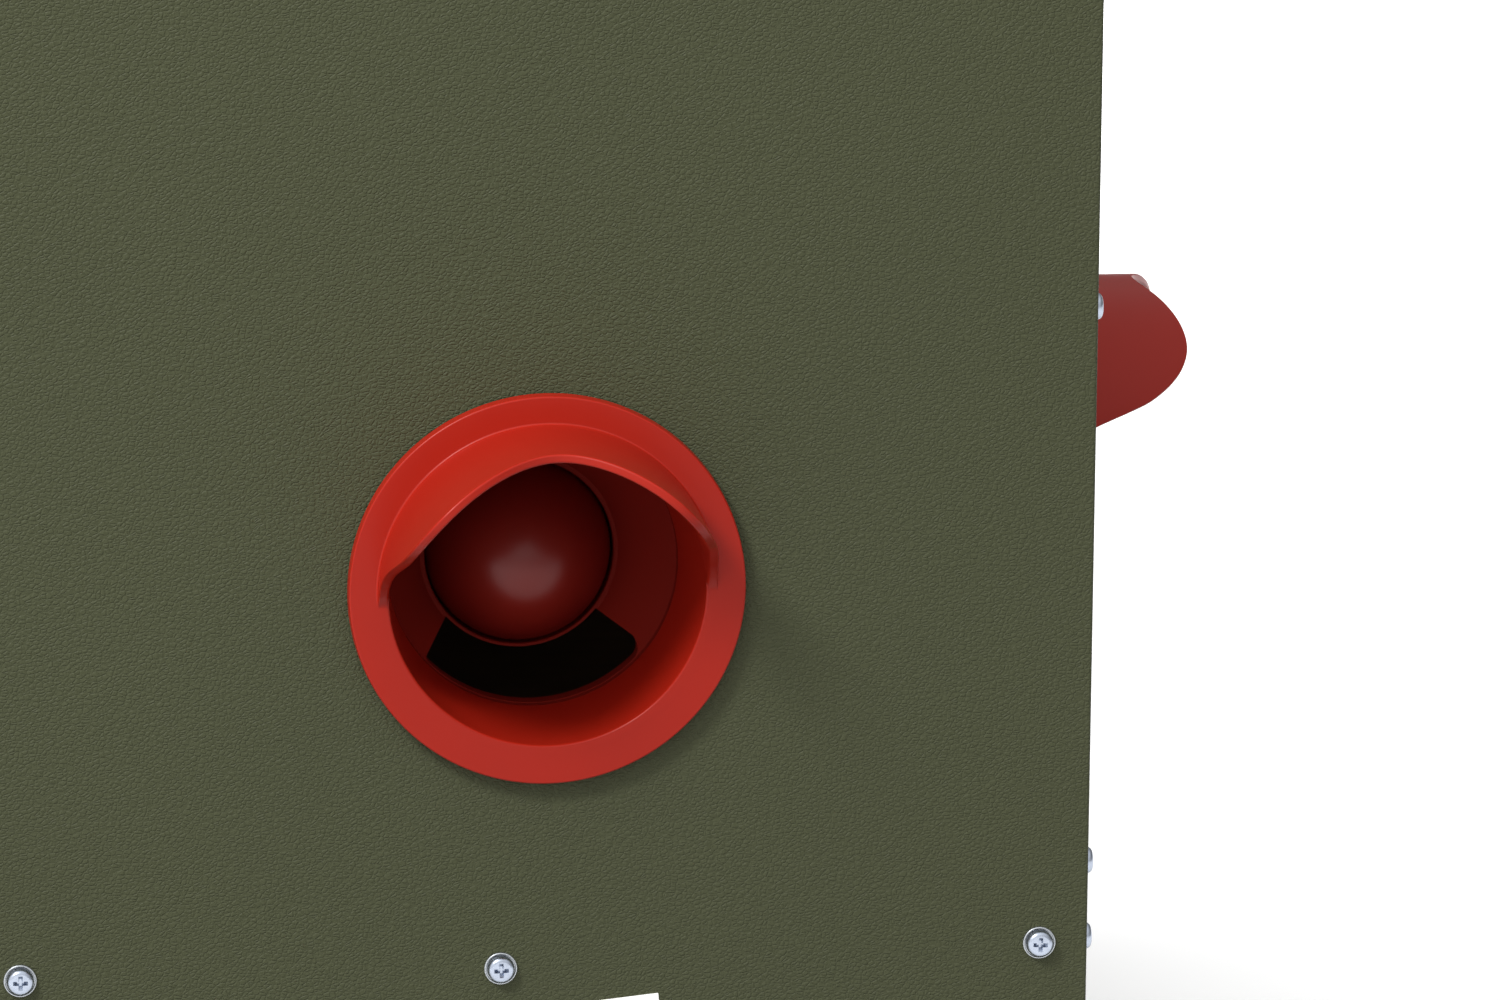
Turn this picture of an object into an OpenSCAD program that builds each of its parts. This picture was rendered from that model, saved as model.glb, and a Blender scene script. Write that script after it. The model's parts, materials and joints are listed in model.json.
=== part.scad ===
// Gravity poultry feeder box: an olive sheet box on corner posts, four red hooded feed ports,
// a sloping feed ramp inside and a hinged lid held by a barrel bolt.
// Front is -Y, up is +Z. The origin is on the ground at the centre of the overall box.

/* [Box] */
// Width of the box over its side sheets
box_w = 610; // [520:5:800]
// Depth of the box over its front and back sheets
box_d = 356; // [280:2:500]
// Height of the wall sheets
wall_h = 568; // [480:4:800]
// Thickness of the wall sheets
sheet = 4; // [3:0.5:6]
// Radius on the sheets' outer edges
edge_r = 1; // [0.5:0.1:1.4]
// Side of the square corner posts and rails
post = 20; // [18:1:26]
// Height of the feet
foot_h = 12; // [6:1:30]
// Radius of the feet
foot_r = 11; // [8:0.5:12]
// How far a foot reaches under the sheets
foot_lap = 1; // [0.5:0.5:3]
// Radius of the stem that holds a foot in its post
stem_r = 4; // [3:0.5:5]
// Length of the stem that holds a foot in its post
stem_l = 15; // [8:1:25]

/* [Floor and ramp] */
// Height of the middle of the floor board above the ground
floor_z = 89; // [60:1:95]
// Thickness of the floor board
floor_t = 12; // [9:1:16]
// Thickness of the feed ramp
ramp_t = 4; // [3:0.5:8]
// Height of the ramp's back edge above the floor board
ramp_rise = 235; // [150:5:300]
// Gap between the ramp's front edge and the middle of the box
ramp_toe = 15; // [5:1:40]
// Thickness of the two ramp supports
support_t = 12; // [8:1:20]
// Distance of each ramp support from the middle
support_x = 190; // [100:5:230]

/* [Ports] */
// Height of the port axes above the ground
port_z = 200; // [160:1:260]
// Distance of a front port's axis from the box's side
port_inset = 156; // [110:1:180]
// Turn of the front right port about its axis, in degrees
front_right_roll = 1.9; // [-5:0.1:5]
// Radius of the flange at its back
flange_r = 56.3; // [54:0.1:60]
// Thickness of the flange
flange_t = 3.5; // [2.5:0.1:5]
// Taper and rounding of the flange's edge
flange_round = 1; // [0.5:0.1:1.5]
// Thickness of the gasket behind the flange
gasket_t = 1; // [0.5:0.1:2]
// Radius of the throat at the flange's face
throat_r = 44.8; // [42:0.1:45]
// Outer radius of the spigot that goes through the wall
spigot_r = 47.5; // [47:0.1:49]
// Length of the spigot behind the wall's outer face
spigot_l = 28; // [24:1:34]
// Radial gap between the spigot and what it goes through
spigot_gap = 0.4; // [0.2:0.1:1]

/* [Hood] */
// Outer radius of the hood
hood_r = 48; // [47:0.1:50]
// Wall of the hood at the flange
hood_root = 2.9; // [2.4:0.1:3]
// Wall of the hood at its lip
hood_lip = 2.3; // [1.5:0.1:2.4]
// Furthest reach of the hood in front of the flange
hood_reach = 47.5; // [40:0.5:60]
// Reach of the hood's crown in front of the flange
crown_reach = 35; // [28:0.5:38]

/* [Bowl] */
// Sideways shift of the bowl's centre from the port's axis
bowl_shift = 3.1; // [0:0.1:3.4]
// Radius of the throat where the bowl begins
bowl_r = 41.6; // [38:0.1:42]
// Wall of the bowl
bowl_wall = 2.5; // [1.8:0.1:2.6]
// Radius of the dome's foot
dome_r = 27; // [22:0.1:28]
// Height of the dome above its foot
dome_h = 36; // [24:0.5:42]
// Wall of the ring around the dome
ring_wall = 1.3; // [1:0.1:2]
// Depth of the dome's foot behind the bowl's mouth
dome_depth = 25.5; // [18:0.5:30]
// Depth of the ring's front edge behind the bowl's mouth
ring_depth = 16; // [10:0.5:17]
// Opening angle of the feed slot
slot_angle = 100; // [60:2:120]

/* [Lock ring] */
// Outer radius of the lock ring
nut_r = 56; // [54:0.5:60]
// Thickness of the lock ring
nut_t = 9; // [6:0.5:14]
// Number of grip notches around the lock ring
nut_notches = 12; // [6:1:18]

/* [Screws] */
// Radius of the screw shanks
screw_r = 2; // [1.5:0.1:2.4]
// Length of the screw shanks below the washer
screw_l = 11; // [9:0.5:11.5]
// Radius of the pan heads
head_r = 3.9; // [3.2:0.1:4.4]
// Height of the pan heads
head_h = 2.5; // [1.8:0.1:3]
// Outer radius of the washers
washer_r = 4.7; // [4.5:0.1:6]
// Thickness of the washers
washer_t = 1; // [0.6:0.1:1.2]
// Radius of the screw holes in the wall sheets
sheet_hole_r = 2.3; // [2.2:0.1:2.6]

/* [Lid] */
// Thickness of the lid
lid_t = 3; // [2:0.5:5]
// Gap between the walls and the lid's skirt
skirt_gap = 7; // [6:0.5:12]
// Height of the lid's skirt below its top sheet
skirt_h = 32; // [24:1:50]
// Thickness of the seal under the lid
seal_t = 3; // [2:0.5:6]
// Gap between the seal and the walls' top edges
seal_gap = 0.3; // [0.2:0.1:0.6]
// Rod radius of the lid's handle
handle_r = 4; // [3:0.5:6]
// Width of the lid's handle between its legs
handle_w = 110; // [80:5:160]
// Reach of the handle in front of the skirt
handle_reach = 30; // [22:1:36]

/* [Hinges] */
// Distance of each hinge from the middle
hinge_x = 200; // [120:5:230]
// Width of a hinge
hinge_w = 60; // [40:2:90]
// Height of a hinge leaf
leaf_h = 26; // [20:1:32]
// Thickness of a hinge leaf
leaf_t = 2; // [1.5:0.1:2.5]
// Radius of the hinge knuckles
knuckle_r = 3.5; // [3:0.1:4]
// Radius of the hinge pin
pin_r = 1.75; // [1.5:0.05:2]
// Running gap around the pin and between the knuckles
pin_gap = 0.05; // [0.02:0.01:0.1]

/* [Bolt] */
// Radius of the barrel bolt's rod
rod_r = 4; // [3:0.5:5]
// Length of the barrel bolt's rod
rod_l = 72; // [64:1:90]
// Travel of the barrel bolt
rod_travel = 16; // [12:1:18]
// Gap around the rod in its guides
rod_gap = 0.3; // [0.2:0.05:0.5]
// Depth of the rod below the lid's skirt
rod_drop = 21.3; // [17:0.1:28]
// Width of each guide block along the rod
guide_w = 9; // [6:0.5:12]
// Thickness of the bolt's base plate and of the keeper
plate_t = 2; // [1.5:0.1:3]

/* [Label] */
// Width of the blank label
label_w = 62; // [40:1:80]
// Height of the blank label
label_h = 40; // [30:1:50]
// Thickness of the blank label
label_t = 0.4; // [0.2:0.1:1]
// Tilt of the blank label in degrees
label_tilt = 4.4; // [-8:0.1:8]

/* [Hidden] */
$fn = 64;
face_z = gasket_t + flange_t;
front_reach = face_z + hood_reach;
back_reach = skirt_gap + lid_t + knuckle_r * 2;
mid_y = (front_reach - back_reach) / 2;
front_y = mid_y - box_d / 2;
back_y = mid_y + box_d / 2;
side_x = box_w / 2;
wall_z = foot_h;
top_z = foot_h + wall_h;
post_c = sheet + post / 2;
post_x = side_x - post_c;
foot_in = sheet - foot_lap + foot_r;
foot_x = side_x - foot_in;
foot_y = box_d / 2 - foot_in;
post_front = front_y + post_c;
post_back = back_y - post_c;
floor_top = floor_z + floor_t / 2;
port_x = side_x - port_inset;
rail_z = top_z - post / 2;
mouth_step = 0.2;

// Screws: places along a wall and heights, shared by the sheets and what is behind them
front_rows = [floor_top - 2.5, port_z + 210, rail_z];
side_rows = [floor_top - 5, port_z - 87.5, port_z + 75, port_z + 235.5, rail_z];
floor_row_x = [-136.4, 0, 136.4];
rail_row_x = [-140, 140];
side_row_y = [-60, 60];
front_holes = concat(
    [for (x = [-post_x, post_x], z = front_rows) [x, z]],
    [for (x = floor_row_x) [x, floor_z]],
    [for (x = rail_row_x) [x, rail_z]]);
side_holes = concat(
    [for (y = [-1, 1], z = side_rows) [y * (box_d / 2 - post_c), z]],
    [for (y = side_row_y) [y, floor_z]],
    [[0, rail_z]]);

// Ports: [x, y, turn of the wall, roll about the axis]
front_left = [-port_x, front_y, 0, 0];
front_right = [port_x, front_y, 0, front_right_roll];
left_side = [-side_x, mid_y, -90, 0];
right_side = [side_x, mid_y, 90, 0];

// Lid, hinge and bolt
lid_under = top_z + seal_gap + seal_t;
skirt_low = lid_under - skirt_h;
rod_z = skirt_low - rod_drop;
lid_w = box_w + 2 * (skirt_gap + lid_t);
lid_d = box_d + 2 * (skirt_gap + lid_t);
skirt_y = back_y + skirt_gap + lid_t;
pin_y = skirt_y + knuckle_r;
pin_z = skirt_low - knuckle_r - 0.5;
rod_y = front_y - skirt_gap - lid_t - plate_t - rod_r;
guide_x = [-44, -4];
eye_x = 14;
tab_t = 3;
rest_gap = 2;
rod_x = eye_x - rest_gap - rod_l;
bolt_screw_r = 1.5;
knob_x = guide_x[0] + guide_w / 2 + rod_r;

// Cubic curve from four points, without its last point
function curve(a, b, c, d, n) = [for (i = [0:n - 1]) let (t = i / n, u = 1 - t)
    u * u * u * a + 3 * u * u * t * b + 3 * u * t * t * c + t * t * t * d];

// Frames: a wall frame has +Z out of the wall, +Y up and +X to the right as seen from outside
module front_frame() {
    translate([0, front_y, 0]) rotate([90, 0, 0]) children();
}
module back_frame() {
    translate([0, back_y, 0]) rotate([90, 0, 180]) children();
}
module left_frame() {
    translate([-side_x, mid_y, 0]) rotate([90, 0, -90]) children();
}
module right_frame() {
    translate([side_x, mid_y, 0]) rotate([90, 0, 90]) children();
}
module port_frame(p) {
    translate([p[0], p[1], port_z]) rotate([0, 0, p[2]]) rotate([90, 0, 0]) rotate([0, 0, p[3]]) children();
}

// A wall sheet in its wall frame, its outer face at z = 0, its outer upright edges rounded
module wall_sheet(w, holes, round_edges) {
    difference() {
        translate([0, top_z, 0]) rotate([90, 0, 0]) linear_extrude(wall_h) sheet_plan(w, round_edges);
        for (h = holes) translate([h[0], h[1], -sheet - 1]) cylinder(r = sheet_hole_r, h = sheet + 2);
    }
}
module sheet_plan(w, round_edges) {
    r = round_edges ? edge_r : 0;
    translate([-w / 2 + r, -sheet]) square([w - 2 * r, sheet]);
    translate([-w / 2, -sheet]) square([w, sheet - r]);
    if (round_edges) for (s = [-1, 1]) translate([s * (w / 2 - r), -r]) circle(r);
}
module port_hole() {
    translate([0, port_z, -sheet - 1]) cylinder(r = spigot_r + spigot_gap, h = sheet + 2);
}

module front_panel() color([0.31, 0.32, 0.24]) {
    front_frame() difference() {
        wall_sheet(box_w, front_holes, true);
        for (s = [-1, 1]) translate([s * port_x, 0, 0]) port_hole();
        for (h = bolt_holes) translate([h[0], h[1], -sheet - 1]) cylinder(r = bolt_screw_r, h = sheet + 2);
    }
}
module back_panel() color([0.31, 0.32, 0.24]) {
    back_frame() difference() {
        wall_sheet(box_w, front_holes, true);
        for (x = [-hinge_x, hinge_x], dx = [-1, 1], z = block_rows)
            translate([x + dx * hinge_w / 4, z, -sheet - 1]) cylinder(r = bolt_screw_r, h = sheet + 2);
    }
}
module side_panel() {
    difference() {
        wall_sheet(box_d - 2 * sheet, side_holes, false);
        port_hole();
    }
}
module left_panel() color([0.31, 0.32, 0.24]) left_frame() side_panel();
module right_panel() color([0.31, 0.32, 0.24]) right_frame() side_panel();

// Pilot holes that the wall screws cut in what is behind the sheets
module pilot_holes() {
    for (h = front_holes) {
        front_frame() translate([h[0], h[1], -screw_l]) cylinder(r = screw_r, h = screw_l);
        back_frame() translate([h[0], h[1], -screw_l]) cylinder(r = screw_r, h = screw_l);
    }
    for (h = side_holes) {
        left_frame() translate([h[0], h[1], -screw_l]) cylinder(r = screw_r, h = screw_l);
        right_frame() translate([h[0], h[1], -screw_l]) cylinder(r = screw_r, h = screw_l);
    }
}
module corner_post(x, y) color([0.22, 0.22, 0.18]) difference() {
    translate([x - post / 2, y - post / 2, wall_z]) cube([post, post, wall_h]);
    translate([sign(x) * foot_x, mid_y + sign(y - mid_y) * foot_y, wall_z]) cylinder(r = stem_r, h = stem_l);
    pilot_holes();
}
module post_front_left() corner_post(-post_x, post_front);
module post_front_right() corner_post(post_x, post_front);
module post_back_left() corner_post(-post_x, post_back);
module post_back_right() corner_post(post_x, post_back);

module top_rail(y) color([0.22, 0.22, 0.18]) difference() {
    translate([-post_x + post / 2, y - post / 2, top_z - post]) cube([2 * post_x - post, post, post]);
    pilot_holes();
}
module top_rail_front() top_rail(post_front);
module top_rail_back() top_rail(post_back);
module side_rail(x) color([0.22, 0.22, 0.18]) difference() {
    translate([x - post / 2, post_front + post / 2, top_z - post])
        cube([post, post_back - post_front - post, post]);
    pilot_holes();
}
module side_rail_left() side_rail(-post_x);
module side_rail_right() side_rail(post_x);

// The room of the four posts, cut from what fills the box
module post_room(gap) {
    for (x = [-post_x, post_x], y = [post_front, post_back])
        translate([x - post / 2 - gap, y - post / 2 - gap, wall_z])
            cube([post + 2 * gap, post + 2 * gap, wall_h]);
}
module floor_board() color([0.31, 0.32, 0.24]) difference() {
    translate([-side_x + sheet, front_y + sheet, floor_z - floor_t / 2])
        cube([box_w - 2 * sheet, box_d - 2 * sheet, floor_t]);
    post_room(0);
    pilot_holes();
}

ramp_y = mid_y + ramp_toe;
ramp_run = back_y - sheet - ramp_y;
module ramp_side(lift) {
    polygon([[ramp_y, floor_top + lift], [ramp_y + ramp_t, floor_top + lift],
        [back_y - sheet, floor_top + ramp_rise - ramp_t * ramp_rise / ramp_run],
        [back_y - sheet, floor_top + ramp_rise]]);
}
module feed_ramp() color([0.34, 0.24, 0.16]) difference() {
    translate([-side_x + sheet, 0, 0]) rotate([90, 0, 90]) linear_extrude(box_w - 2 * sheet) ramp_side(0);
    post_room(0.5);
    pilot_holes();
}
module ramp_supports() color([0.22, 0.22, 0.18]) difference() {
    for (x = [-support_x, support_x])
        translate([x - support_t / 2, 0, 0]) rotate([90, 0, 90]) linear_extrude(support_t)
            polygon([[ramp_y + ramp_t, floor_top], [back_y - sheet, floor_top],
                [back_y - sheet, floor_top + ramp_rise - ramp_t * ramp_rise / ramp_run]]);
    pilot_holes();
}
module feet() color([0.08, 0.08, 0.08]) {
    for (x = [-foot_x, foot_x], y = [mid_y - foot_y, mid_y + foot_y]) translate([x, y, 0]) {
        cylinder(r1 = foot_r - 1.5, r2 = foot_r, h = foot_h);
        cylinder(r = stem_r, h = foot_h + stem_l);
    }
}

// Port pieces in the port frame: z = 0 on the wall's outer face
module throat() {
    hull() {
        translate([0, 0, face_z - mouth_step / 2]) cylinder(r = throat_r, h = mouth_step / 4);
        translate([-bowl_shift, 0, -spigot_l - 1]) cylinder(r = bowl_r, h = 1);
    }
}
module hood_side() {
    nose = hood_reach;
    low = curve([0, -2], [7, 10], [20, 12.5], [nose * 0.72, 19], 9);
    mid = curve([nose * 0.72, 19], [nose * 0.86, 22.8], [nose * 0.985, 28], [nose, 34], 7);
    top = curve([nose, 34], [nose * 1.01, 40], [crown_reach + 8, 46.5], [crown_reach, hood_r + 0.5], 8);
    polygon(concat([[-2, -2]], low, mid, top, [[crown_reach, hood_r + 0.5], [-2, hood_r + 0.5]]));
}
module hood(p) color([0.72, 0.16, 0.12]) port_frame(p) difference() {
    union() {
        rotate_extrude() polygon([[bowl_r - 2, gasket_t], [flange_r, gasket_t],
            [flange_r, gasket_t + 0.6], [flange_r - 0.3, face_z - flange_round],
            [flange_r - 0.3 - 0.3 * flange_round, face_z - 0.3 * flange_round],
            [flange_r - 0.3 - flange_round, face_z], [bowl_r - 2, face_z]]);
        translate([0, 0, -spigot_l]) cylinder(r = spigot_r, h = spigot_l + gasket_t + 1);
        translate([0, 0, face_z]) intersection() {
            translate([0, 0, -0.5]) cylinder(r = hood_r, h = hood_reach + 1);
            rotate([0, -90, 0]) linear_extrude(2 * hood_r + 2, center = true) hood_side();
        }
    }
    throat();
    translate([0, 0, face_z - mouth_step])
        cylinder(r1 = hood_r - hood_root, r2 = hood_r - hood_lip, h = hood_reach + 3);
}
dome_z = -spigot_l - dome_depth;
ring_z = -spigot_l - ring_depth;
cone_z = -spigot_l - bowl_wall;
ring_r = dome_r + ring_wall;
slot_r = bowl_r - 0.5;
// Half an egg shape from its foot to its tip, or back again
function dome_arc(r, h, n) = [for (i = [0:n]) let (a = 90 * i / n) [r * cos(a), dome_z + h * sin(a)]];
function dome_back(r, h, n) = [for (i = [0:n]) let (a = 90 * i / n) [r * sin(a), dome_z + h * cos(a)]];
module bowl(p) color([0.62, 0.12, 0.1]) port_frame(p) translate([-bowl_shift, 0, 0]) difference() {
    rotate_extrude() polygon(concat(
        [[bowl_r, -spigot_l], [bowl_r - 0.2, cone_z], [ring_r, ring_z], [dome_r + 0.1, ring_z]],
        dome_arc(dome_r, dome_h, 12),
        dome_back(dome_r - bowl_wall, dome_h - bowl_wall, 12),
        [[dome_r - bowl_wall, dome_z - bowl_wall], [ring_r, dome_z - bowl_wall],
            [ring_r, ring_z - bowl_wall], [bowl_r + bowl_wall, cone_z - bowl_wall],
            [bowl_r + bowl_wall, -spigot_l]]));
    rotate([0, 0, -90 - slot_angle / 2]) rotate_extrude(angle = slot_angle)
        translate([ring_r - ring_wall / 6, dome_z - bowl_wall])
            square([slot_r - ring_r + ring_wall / 6, dome_depth + bowl_wall + 1]);
}
module lock_ring(p) color([0.62, 0.12, 0.1]) port_frame(p) translate([0, 0, -sheet - nut_t]) difference() {
    cylinder(r = nut_r, h = nut_t);
    translate([0, 0, -1]) cylinder(r = spigot_r + spigot_gap, h = nut_t + 2);
    for (i = [0:nut_notches - 1]) rotate([0, 0, i * 360 / nut_notches])
        translate([nut_r - 2.5, -3, -1]) cube([6, 6, nut_t + 2]);
}
module gasket(p) color([0.06, 0.06, 0.06]) port_frame(p) difference() {
    cylinder(r = flange_r - 0.4, h = gasket_t);
    translate([0, 0, -1]) cylinder(r = spigot_r + spigot_gap, h = gasket_t + 2);
}

// Fasteners in a wall frame
module pan_screw() {
    difference() {
        union() {
            translate([0, 0, washer_t]) rotate_extrude()
                polygon([[0, 0], [head_r, 0], [head_r, head_h * 0.35],
                [head_r * 0.93, head_h * 0.65], [head_r * 0.75, head_h * 0.86],
                [head_r * 0.45, head_h * 0.97], [0, head_h]]);
            translate([0, 0, -screw_l]) cylinder(r = screw_r, h = screw_l + washer_t);
        }
        for (a = [0, 90]) rotate([0, 0, a])
            translate([-head_r * 0.55, -0.5, washer_t + head_h * 0.45]) cube([head_r * 1.1, 1, head_h]);
    }
}
module flat_washer() {
    difference() {
        cylinder(r = washer_r, h = washer_t);
        translate([0, 0, -1]) cylinder(r = screw_r, h = washer_t + 2);
    }
}
module screw_set(holes) color([0.75, 0.76, 0.78]) {
    for (h = holes) translate([h[0], h[1], 0]) pan_screw();
}
module washer_set(holes) color([0.7, 0.71, 0.73]) {
    for (h = holes) translate([h[0], h[1], 0]) flat_washer();
}
// Small countersunk-style screw through a plate of thickness t, with its flat head on the plate
module small_screw(t, depth) {
    translate([0, 0, t]) rotate_extrude() polygon([[0, 0], [2.8, 0], [2.6, 0.7], [1.6, 1.2], [0, 1.3]]);
    translate([0, 0, -depth]) cylinder(r = bolt_screw_r, h = depth + t);
}
module front_screws() front_frame() screw_set(front_holes);
module front_washers() front_frame() washer_set(front_holes);
module back_screws() back_frame() screw_set(front_holes);
module back_washers() back_frame() washer_set(front_holes);
module left_screws() left_frame() screw_set(side_holes);
module left_washers() left_frame() washer_set(side_holes);
module right_screws() right_frame() screw_set(side_holes);
module right_washers() right_frame() washer_set(side_holes);

module blank_label() color([0.93, 0.93, 0.9]) front_frame()
    translate([port_x + 31.7, port_z - 118, 0]) rotate([0, 0, label_tilt])
        translate([-label_w, -label_h, 0]) cube([label_w, label_h, label_t]);

// Lid: top sheet with a skirt all round
module lid() color([0.31, 0.32, 0.24]) difference() {
    translate([-lid_w / 2, mid_y - lid_d / 2, skirt_low]) cube([lid_w, lid_d, skirt_h + lid_t]);
    translate([-lid_w / 2 + lid_t, mid_y - lid_d / 2 + lid_t, skirt_low - 1])
        cube([lid_w - 2 * lid_t, lid_d - 2 * lid_t, skirt_h + 1]);
    for (s = [-1, 1]) translate([s * handle_w / 2, mid_y - lid_d / 2 - 1, handle_z]) rotate([-90, 0, 0])
        cylinder(r = bolt_screw_r, h = lid_t + 2);
    for (x = [-hinge_x, hinge_x], dx = [-1, 1])
        translate([x + dx * hinge_w / 4, skirt_y + 1, lid_leaf_row]) rotate([90, 0, 0])
            cylinder(r = bolt_screw_r, h = lid_t + 2);
    for (z = keeper_rows) translate([keeper_x, mid_y - lid_d / 2 - 1, z]) rotate([-90, 0, 0])
        cylinder(r = bolt_screw_r, h = lid_t + 2);
}
module lid_seal() color([0.06, 0.06, 0.06]) translate([0, mid_y, lid_under - seal_t]) difference() {
    translate([-side_x + 1, -box_d / 2 + 1, 0]) cube([box_w - 2, box_d - 2, seal_t]);
    translate([-side_x + 11, -box_d / 2 + 11, -1]) cube([box_w - 22, box_d - 22, seal_t + 2]);
}

// Handle: a bent rod on the front skirt
handle_z = skirt_low + skirt_h / 2;
handle_y = mid_y - lid_d / 2;
bend_r = handle_r * 2.5;
module lid_handle() color([0.12, 0.12, 0.12]) translate([0, handle_y, handle_z]) difference() {
    union() {
        for (s = [-1, 1]) translate([s * handle_w / 2, 0, 0]) rotate([90, 0, 0]) {
            cylinder(r = handle_r, h = handle_reach - handle_r - bend_r);
            cylinder(r = handle_r + 3, h = 2);
        }
        for (s = [-1, 1]) translate([s * (handle_w / 2 - bend_r), -handle_reach + handle_r + bend_r, 0])
            rotate([0, 0, s > 0 ? 270 : 180]) rotate_extrude(angle = 90)
                translate([bend_r, 0]) circle(handle_r);
        translate([-handle_w / 2 + bend_r, -handle_reach + handle_r, 0]) rotate([0, 90, 0])
            cylinder(r = handle_r, h = handle_w - 2 * bend_r);
    }
    for (s = [-1, 1]) translate([s * handle_w / 2, 1, 0]) rotate([90, 0, 0])
        cylinder(r = bolt_screw_r, h = 9);
}
module handle_screws() color([0.75, 0.76, 0.78]) {
    for (s = [-1, 1]) translate([s * handle_w / 2, handle_y, handle_z]) rotate([-90, 0, 0])
        small_screw(lid_t, 8);
}

// Hinges: the lid turns about the pins at pin_y, pin_z
block_t = skirt_gap + lid_t;
block_top = pin_z - knuckle_r * 0.6;
block_low = block_top - leaf_h - 2;
block_rows = [block_low + 6, block_top - 8];
lid_leaf_row = pin_z + knuckle_r + leaf_h * 0.55;
module hinge_blocks() color([0.22, 0.22, 0.18]) difference() {
    for (x = [-hinge_x, hinge_x])
        translate([x - hinge_w / 2, back_y, block_low]) cube([hinge_w, block_t, block_top - block_low]);
    for (x = [-hinge_x, hinge_x], dx = [-1, 1], z = block_rows)
        translate([x + dx * hinge_w / 4, back_y - 1, z]) rotate([-90, 0, 0])
            cylinder(r = bolt_screw_r, h = block_t + 2);
}
module knuckles(first, parts) {
    w = hinge_w / 5;
    for (i = parts) translate([-hinge_w / 2 + i * w + first, pin_y, pin_z]) rotate([0, 90, 0]) difference() {
        cylinder(r = knuckle_r, h = w - 2 * pin_gap - 0.2);
        translate([0, 0, -1]) cylinder(r = pin_r + pin_gap, h = w + 2);
    }
}
module body_leaf(x) color([0.7, 0.71, 0.73]) translate([x, 0, 0]) difference() {
    union() {
        knuckles(pin_gap + 0.1, [0, 2, 4]);
        translate([-hinge_w / 2 + pin_gap + 0.1, skirt_y, pin_z - leaf_h]) {
            cube([hinge_w - 2 * pin_gap - 0.2, leaf_t, leaf_h - knuckle_r - 0.4]);
            for (i = [0, 2, 4]) translate([i * hinge_w / 5, 0, 0])
                cube([hinge_w / 5 - 2 * pin_gap - 0.2, leaf_t, leaf_h]);
        }
    }
    translate([-hinge_w, pin_y, pin_z]) rotate([0, 90, 0]) cylinder(r = pin_r + pin_gap, h = 2 * hinge_w);
    for (dx = [-1, 1], z = block_rows) translate([dx * hinge_w / 4, skirt_y - 1, z]) rotate([-90, 0, 0])
        cylinder(r = bolt_screw_r, h = leaf_t + 2);
}
module lid_leaf(x) color([0.7, 0.71, 0.73]) translate([x, 0, 0]) difference() {
    union() {
        knuckles(pin_gap + 0.1, [1, 3]);
        translate([-hinge_w / 2 + pin_gap + 0.1, skirt_y, pin_z]) {
            translate([0, 0, knuckle_r + 0.4])
                cube([hinge_w - 2 * pin_gap - 0.2, leaf_t, leaf_h - knuckle_r - 0.4]);
            for (i = [1, 3]) translate([i * hinge_w / 5, 0, 0])
                cube([hinge_w / 5 - 2 * pin_gap - 0.2, leaf_t, leaf_h]);
        }
    }
    translate([-hinge_w, pin_y, pin_z]) rotate([0, 90, 0]) cylinder(r = pin_r + pin_gap, h = 2 * hinge_w);
    for (dx = [-1, 1]) translate([dx * hinge_w / 4, skirt_y - 1, lid_leaf_row]) rotate([-90, 0, 0])
        cylinder(r = bolt_screw_r, h = leaf_t + 2);
}
module hinge_pin(x) color([0.75, 0.76, 0.78]) translate([x - hinge_w / 2 - 0.5, pin_y, pin_z])
    rotate([0, 90, 0]) {
        cylinder(r = pin_r, h = hinge_w + 1);
        translate([0, 0, -1]) cylinder(r = knuckle_r - 0.5, h = 1);
        translate([0, 0, hinge_w + 1]) cylinder(r = knuckle_r - 0.5, h = 1);
    }
module body_leaf_left() body_leaf(-hinge_x);
module body_leaf_right() body_leaf(hinge_x);
module lid_leaf_left() lid_leaf(-hinge_x);
module lid_leaf_right() lid_leaf(hinge_x);
module hinge_pin_left() hinge_pin(-hinge_x);
module hinge_pin_right() hinge_pin(hinge_x);
module hinge_screws_body() color([0.75, 0.76, 0.78]) {
    for (x = [-hinge_x, hinge_x], dx = [-1, 1], z = block_rows)
        translate([x + dx * hinge_w / 4, skirt_y, z]) rotate([-90, 0, 0])
            small_screw(leaf_t, block_t + sheet);
}
module hinge_screws_lid() color([0.75, 0.76, 0.78]) {
    for (x = [-hinge_x, hinge_x], dx = [-1, 1])
        translate([x + dx * hinge_w / 4, skirt_y, lid_leaf_row]) rotate([-90, 0, 0])
            small_screw(leaf_t, lid_t);
}

// Barrel bolt on the front wall, sliding along +X into the keeper's eye on the lid
base_w = guide_x[1] - guide_x[0] + guide_w;
base_h = 34;
bolt_holes = [for (x = [guide_x[0] - guide_w / 2 + 16, guide_x[1] + guide_w / 2 - 16], dz = [-12, 12])
    [x, rod_z + dz]];
module bolt_guide() color([0.7, 0.71, 0.73]) difference() {
    union() {
        translate([guide_x[0] - guide_w / 2, front_y - plate_t, rod_z - base_h / 2])
            cube([base_w, plate_t, base_h]);
        for (x = guide_x) translate([x - guide_w / 2, rod_y, rod_z - rod_r - 2.5])
            cube([guide_w, front_y - rod_y, 2 * rod_r + 5]);
        for (x = guide_x) translate([x - guide_w / 2, rod_y, rod_z]) rotate([0, 90, 0])
            cylinder(r = rod_r + 2.5, h = guide_w);
    }
    translate([guide_x[0] - guide_w, rod_y, rod_z]) rotate([0, 90, 0])
        cylinder(r = rod_r + rod_gap, h = base_w + 2 * guide_w);
    for (h = bolt_holes) translate([h[0], front_y - plate_t - 1, h[1]]) rotate([-90, 0, 0])
        cylinder(r = bolt_screw_r, h = plate_t + 2);
}
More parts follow.
